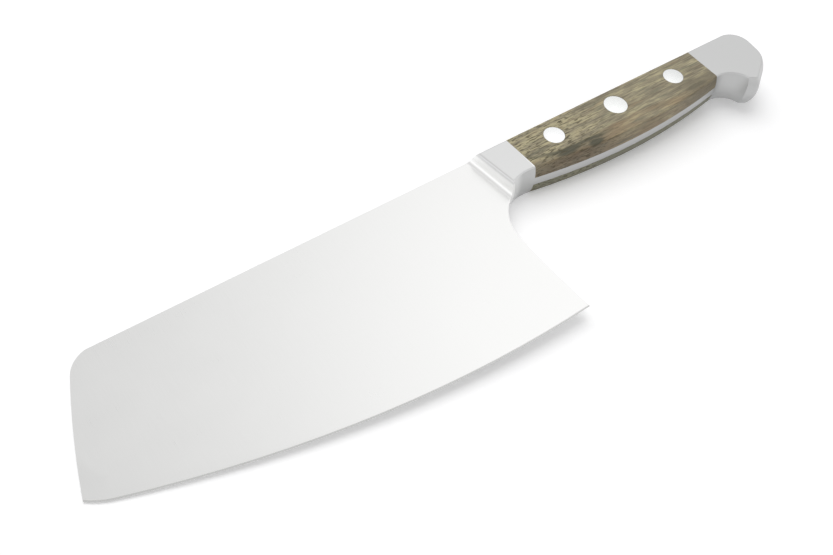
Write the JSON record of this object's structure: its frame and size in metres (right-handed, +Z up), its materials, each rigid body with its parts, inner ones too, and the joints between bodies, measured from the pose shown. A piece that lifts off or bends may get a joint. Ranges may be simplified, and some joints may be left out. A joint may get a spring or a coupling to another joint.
{
  "type": "chinese cleaver",
  "caption": "Small full-tang vegetable cleaver with a tall curved-edge blade, forged bolster, riveted wooden scales and a beaked steel butt cap, lying on its side.",
  "frame": {"origin": "on the table under the middle of the bounding box, as the cleaver lies on its right side", "axes": "+X from the nose of the blade to the butt, +Y from the cutting edge to the spine, +Z up off the table"},
  "size_m": [0.2897, 0.0677, 0.0173],
  "materials": {
    "forged_steel": "stainless steel, satin ground on the blade and brushed on the bolster, tang and butt cap",
    "barrel_oak": "aged grey-brown oak with open pores and dark streaks, sanded flush and oiled",
    "rivet_steel": "stainless steel heads polished flush with the wood"
  },
  "bodies": {
    "root": {"forged_blade": "forged_steel", "left_scale": "barrel_oak", "right_scale": "barrel_oak", "front_rivet_pin": "rivet_steel", "front_rivet_sleeve": "rivet_steel", "middle_rivet_pin": "rivet_steel", "middle_rivet_sleeve": "rivet_steel", "rear_rivet_pin": "rivet_steel", "rear_rivet_sleeve": "rivet_steel"}
  },
  "joints": []
}
